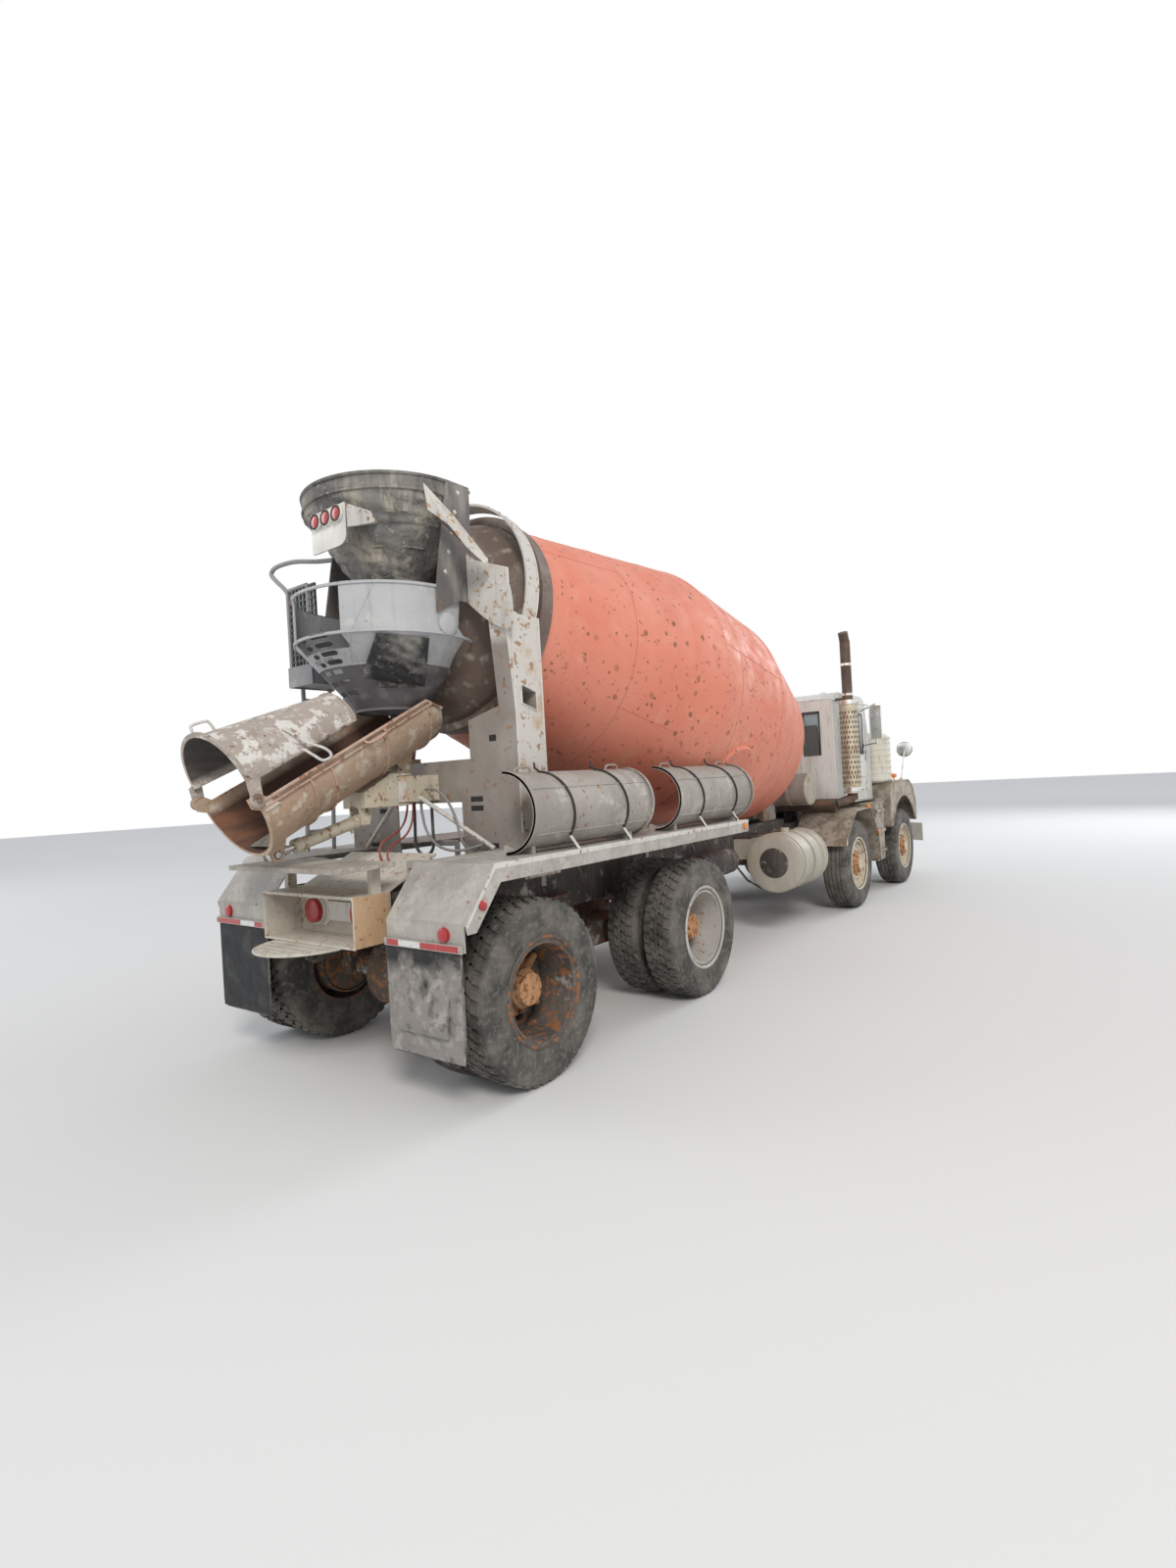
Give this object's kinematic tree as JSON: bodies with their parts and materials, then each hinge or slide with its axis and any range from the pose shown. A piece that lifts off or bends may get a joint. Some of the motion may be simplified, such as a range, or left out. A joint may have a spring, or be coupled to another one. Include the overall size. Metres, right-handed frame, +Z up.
{
  "type": "concrete mixer truck",
  "caption": "Four-axle concrete mixer truck with a tilted drum, charging hopper, swinging discharge chutes, spare chutes on the rear fender, cab, tilting hood and rolling, steered wheels.",
  "frame": {"origin": "on the ground, under the middle of the truck's overall box", "axes": "+X towards the cab and bumper, +Y to the truck's left, +Z up"},
  "size_m": [10.4453, 2.54, 3.7172],
  "materials": {
    "frame_steel": "dusty satin",
    "bumper_paint": "worn satin",
    "engine_grey": "oily matt",
    "axle_iron": "rusty matt",
    "spring_steel": "rusty matt",
    "tank_aluminium": "dull satin",
    "pedestal_paint": "crusted matt",
    "gearbox_paint": "crusted matt",
    "crusted_steel": "concrete crusted matt",
    "collector_paint": "dusty satin",
    "flap_rubber": "dusty matt",
    "ladder_paint": "dusty satin",
    "deck_paint": "crusted matt",
    "fender_paint": "crusted matt",
    "chute_grey": "worn matt",
    "red_lens": "gloss",
    "tread_plate": "dusty satin",
    "cab_paint": "worn gloss",
    "window_glass": "clear",
    "cab_trim": "matt",
    "cleaner_paint": "worn satin",
    "exhaust_steel": "sooty matt",
    "shield_steel": "dull",
    "mirror_metal": "polished",
    "trim_metal": "dull",
    "lamp_metal": "polished",
    "drum_paint": "worn satin with rust pits",
    "roller_iron": "greasy matt",
    "swing_paint": "worn satin",
    "rusty_chute": "rusty matt",
    "cream_chute": "flaking matt",
    "rod_chrome": "polished",
    "tyre_rubber": "dusty matt",
    "front_rim_paint": "rusty satin",
    "third_rim_paint": "worn satin",
    "rear_rim_paint": "rusty matt",
    "hose_rubber": "dusty matt"
  },
  "bodies": {
    "chassis": {"frame": "frame_steel", "front_bumper": "bumper_paint", "powertrain": "engine_grey", "axles": "axle_iron", "springs": "spring_steel", "tanks": "tank_aluminium", "front_pedestal": "pedestal_paint", "drum_gearbox": "gearbox_paint", "rear_pedestal": "pedestal_paint", "hopper": "crusted_steel", "collector": "collector_paint", "rubber_flaps": "flap_rubber", "access_ladder": "ladder_paint", "rear_deck": "deck_paint", "rear_fenders": "fender_paint", "spare_chutes": "chute_grey", "rear_lamps": "red_lens", "cab_fenders": "tread_plate", "fender_lamps": "lamp_metal", "cab_shell": "cab_paint", "cab_glass": "window_glass", "cab_interior": "cab_trim", "air_cleaner": "cleaner_paint", "exhaust": "exhaust_steel", "heat_shield": "shield_steel", "hoses": "hose_rubber"},
    "door_right": {"door_right": "cab_paint", "mirror_right": "mirror_metal"},
    "door_left": {"door_left": "cab_paint", "mirror_left": "mirror_metal"},
    "hood": {"hood": "cab_paint", "grille": "trim_metal"},
    "drum": {"drum_shell": "drum_paint"},
    "roller_right": {"roller_right": "roller_iron"},
    "roller_left": {"roller_left": "roller_iron"},
    "swing": {"swing_post": "swing_paint"},
    "chute": {"main_chute": "rusty_chute"},
    "fold": {"fold_chute": "cream_chute"},
    "barrel": {"cylinder_barrel": "swing_paint"},
    "rod": {"cylinder_rod": "rod_chrome"},
    "knuckle_1_left": {"knuckle_1_left": "axle_iron"},
    "knuckle_1_right": {"knuckle_1_right": "axle_iron"},
    "knuckle_2_left": {"knuckle_2_left": "axle_iron"},
    "knuckle_2_right": {"knuckle_2_right": "axle_iron"},
    "wheel_1_left": {"tyre_1_left": "tyre_rubber", "rim_1_left": "front_rim_paint"},
    "wheel_1_right": {"tyre_1_right": "tyre_rubber", "rim_1_right": "front_rim_paint"},
    "wheel_2_left": {"tyre_2_left": "tyre_rubber", "rim_2_left": "front_rim_paint"},
    "wheel_2_right": {"tyre_2_right": "tyre_rubber", "rim_2_right": "front_rim_paint"},
    "wheel_3_left": {"tyre_3_left": "tyre_rubber", "rim_3_left": "third_rim_paint"},
    "wheel_3_right": {"tyre_3_right": "tyre_rubber", "rim_3_right": "third_rim_paint"},
    "wheel_4_left": {"tyre_4_left": "tyre_rubber", "rim_4_left": "rear_rim_paint"},
    "wheel_4_right": {"tyre_4_right": "tyre_rubber", "rim_4_right": "rear_rim_paint"}
  },
  "joints": [
    {"name": "steer_1_left", "type": "hinge", "parent": "chassis", "child": "knuckle_1_left", "pos_m": [4.107, 0.83, 0.525], "axis": [0, 0, 1], "range_deg": [-28, 28]},
    {"name": "steer_1_right", "type": "hinge", "parent": "chassis", "child": "knuckle_1_right", "pos_m": [4.107, -0.83, 0.525], "axis": [0, 0, 1], "range_deg": [-28, 28]},
    {"name": "steer_2_left", "type": "hinge", "parent": "chassis", "child": "knuckle_2_left", "pos_m": [2.007, 0.83, 0.525], "axis": [0, 0, 1], "range_deg": [-17.5, 17.5]},
    {"name": "steer_2_right", "type": "hinge", "parent": "chassis", "child": "knuckle_2_right", "pos_m": [2.007, -0.83, 0.525], "axis": [0, 0, 1], "range_deg": [-17.5, 17.5]},
    {"name": "wheel_1_left_spin", "type": "hinge", "parent": "knuckle_1_left", "child": "wheel_1_left", "pos_m": [4.107, 1, 0.525], "axis": [0, 1, 0], "continuous": true},
    {"name": "wheel_1_right_spin", "type": "hinge", "parent": "knuckle_1_right", "child": "wheel_1_right", "pos_m": [4.107, -1, 0.525], "axis": [0, 1, 0], "continuous": true},
    {"name": "wheel_2_left_spin", "type": "hinge", "parent": "knuckle_2_left", "child": "wheel_2_left", "pos_m": [2.007, 1, 0.525], "axis": [0, 1, 0], "continuous": true},
    {"name": "wheel_2_right_spin", "type": "hinge", "parent": "knuckle_2_right", "child": "wheel_2_right", "pos_m": [2.007, -1, 0.525], "axis": [0, 1, 0], "continuous": true},
    {"name": "wheel_3_left_spin", "type": "hinge", "parent": "chassis", "child": "wheel_3_left", "pos_m": [-2.013, 1, 0.525], "axis": [0, 1, 0], "continuous": true},
    {"name": "wheel_3_right_spin", "type": "hinge", "parent": "chassis", "child": "wheel_3_right", "pos_m": [-2.013, -1, 0.525], "axis": [0, 1, 0], "continuous": true},
    {"name": "wheel_4_left_spin", "type": "hinge", "parent": "chassis", "child": "wheel_4_left", "pos_m": [-3.926, 1, 0.525], "axis": [0, 1, 0], "continuous": true},
    {"name": "wheel_4_right_spin", "type": "hinge", "parent": "chassis", "child": "wheel_4_right", "pos_m": [-3.926, -1, 0.525], "axis": [0, 1, 0], "continuous": true},
    {"name": "drum_spin", "type": "hinge", "parent": "chassis", "child": "drum", "pos_m": [-3.226, 0, 2.876], "axis": [0.981, 0, -0.1942], "continuous": true},
    {"name": "roller_right_spin", "type": "hinge", "parent": "chassis", "child": "roller_right", "pos_m": [-3.36842, -0.57287, 2.15672], "axis": [0.981, 0, -0.1942], "continuous": true},
    {"name": "roller_left_spin", "type": "hinge", "parent": "chassis", "child": "roller_left", "pos_m": [-3.36842, 0.57287, 2.15672], "axis": [0.981, 0, -0.1942], "continuous": true},
    {"name": "chute_swing", "type": "hinge", "parent": "chassis", "child": "swing", "pos_m": [-3.926, 0, 1.7], "axis": [0, 0, 1], "range_deg": [-60, 60]},
    {"name": "chute_lift", "type": "hinge", "parent": "swing", "child": "chute", "pos_m": [-3.886, 0, 1.85], "axis": [0, 1, 0], "range_deg": [0, 10]},
    {"name": "fold_hinge", "type": "hinge", "parent": "chute", "child": "fold", "pos_m": [-5.05945, 0, 1.68616], "axis": [0, -1, 0], "range_deg": [0, 176]},
    {"name": "barrel_pivot", "type": "hinge", "parent": "swing", "child": "barrel", "pos_m": [-4.216, 0, 1.53], "axis": [0, 1, 0], "range_deg": [0, 17]},
    {"name": "rod_slide", "type": "slide", "parent": "barrel", "child": "rod", "axis": [-0.9672, 0, -0.2541], "range_m": [0, 0.055]},
    {"name": "hood_tilt", "type": "hinge", "parent": "chassis", "child": "hood", "pos_m": [4.974, 0, 1.062], "axis": [0, 1, 0], "range_deg": [0, 55]},
    {"name": "door_right_hinge", "type": "hinge", "parent": "chassis", "child": "door_right", "pos_m": [3.126, -0.976, 1.63], "axis": [0, 0, 1], "range_deg": [0, 60]},
    {"name": "door_left_hinge", "type": "hinge", "parent": "chassis", "child": "door_left", "pos_m": [3.126, 0.976, 1.63], "axis": [0, 0, -1], "range_deg": [0, 60]}
  ],
  "couplings": [
    {"joint": "steer_1_right", "follows": "steer_1_left", "ratio": 1},
    {"joint": "steer_2_left", "follows": "steer_1_left", "ratio": 0.62},
    {"joint": "steer_2_right", "follows": "steer_1_left", "ratio": 0.62},
    {"joint": "roller_right_spin", "follows": "drum_spin", "ratio": -6.1538},
    {"joint": "roller_left_spin", "follows": "drum_spin", "ratio": -6.1538},
    {"joint": "barrel_pivot", "follows": "chute_lift", "ratio": 1.59},
    {"joint": "rod_slide", "follows": "chute_lift", "m_per_rad": 0.2699}
  ]
}
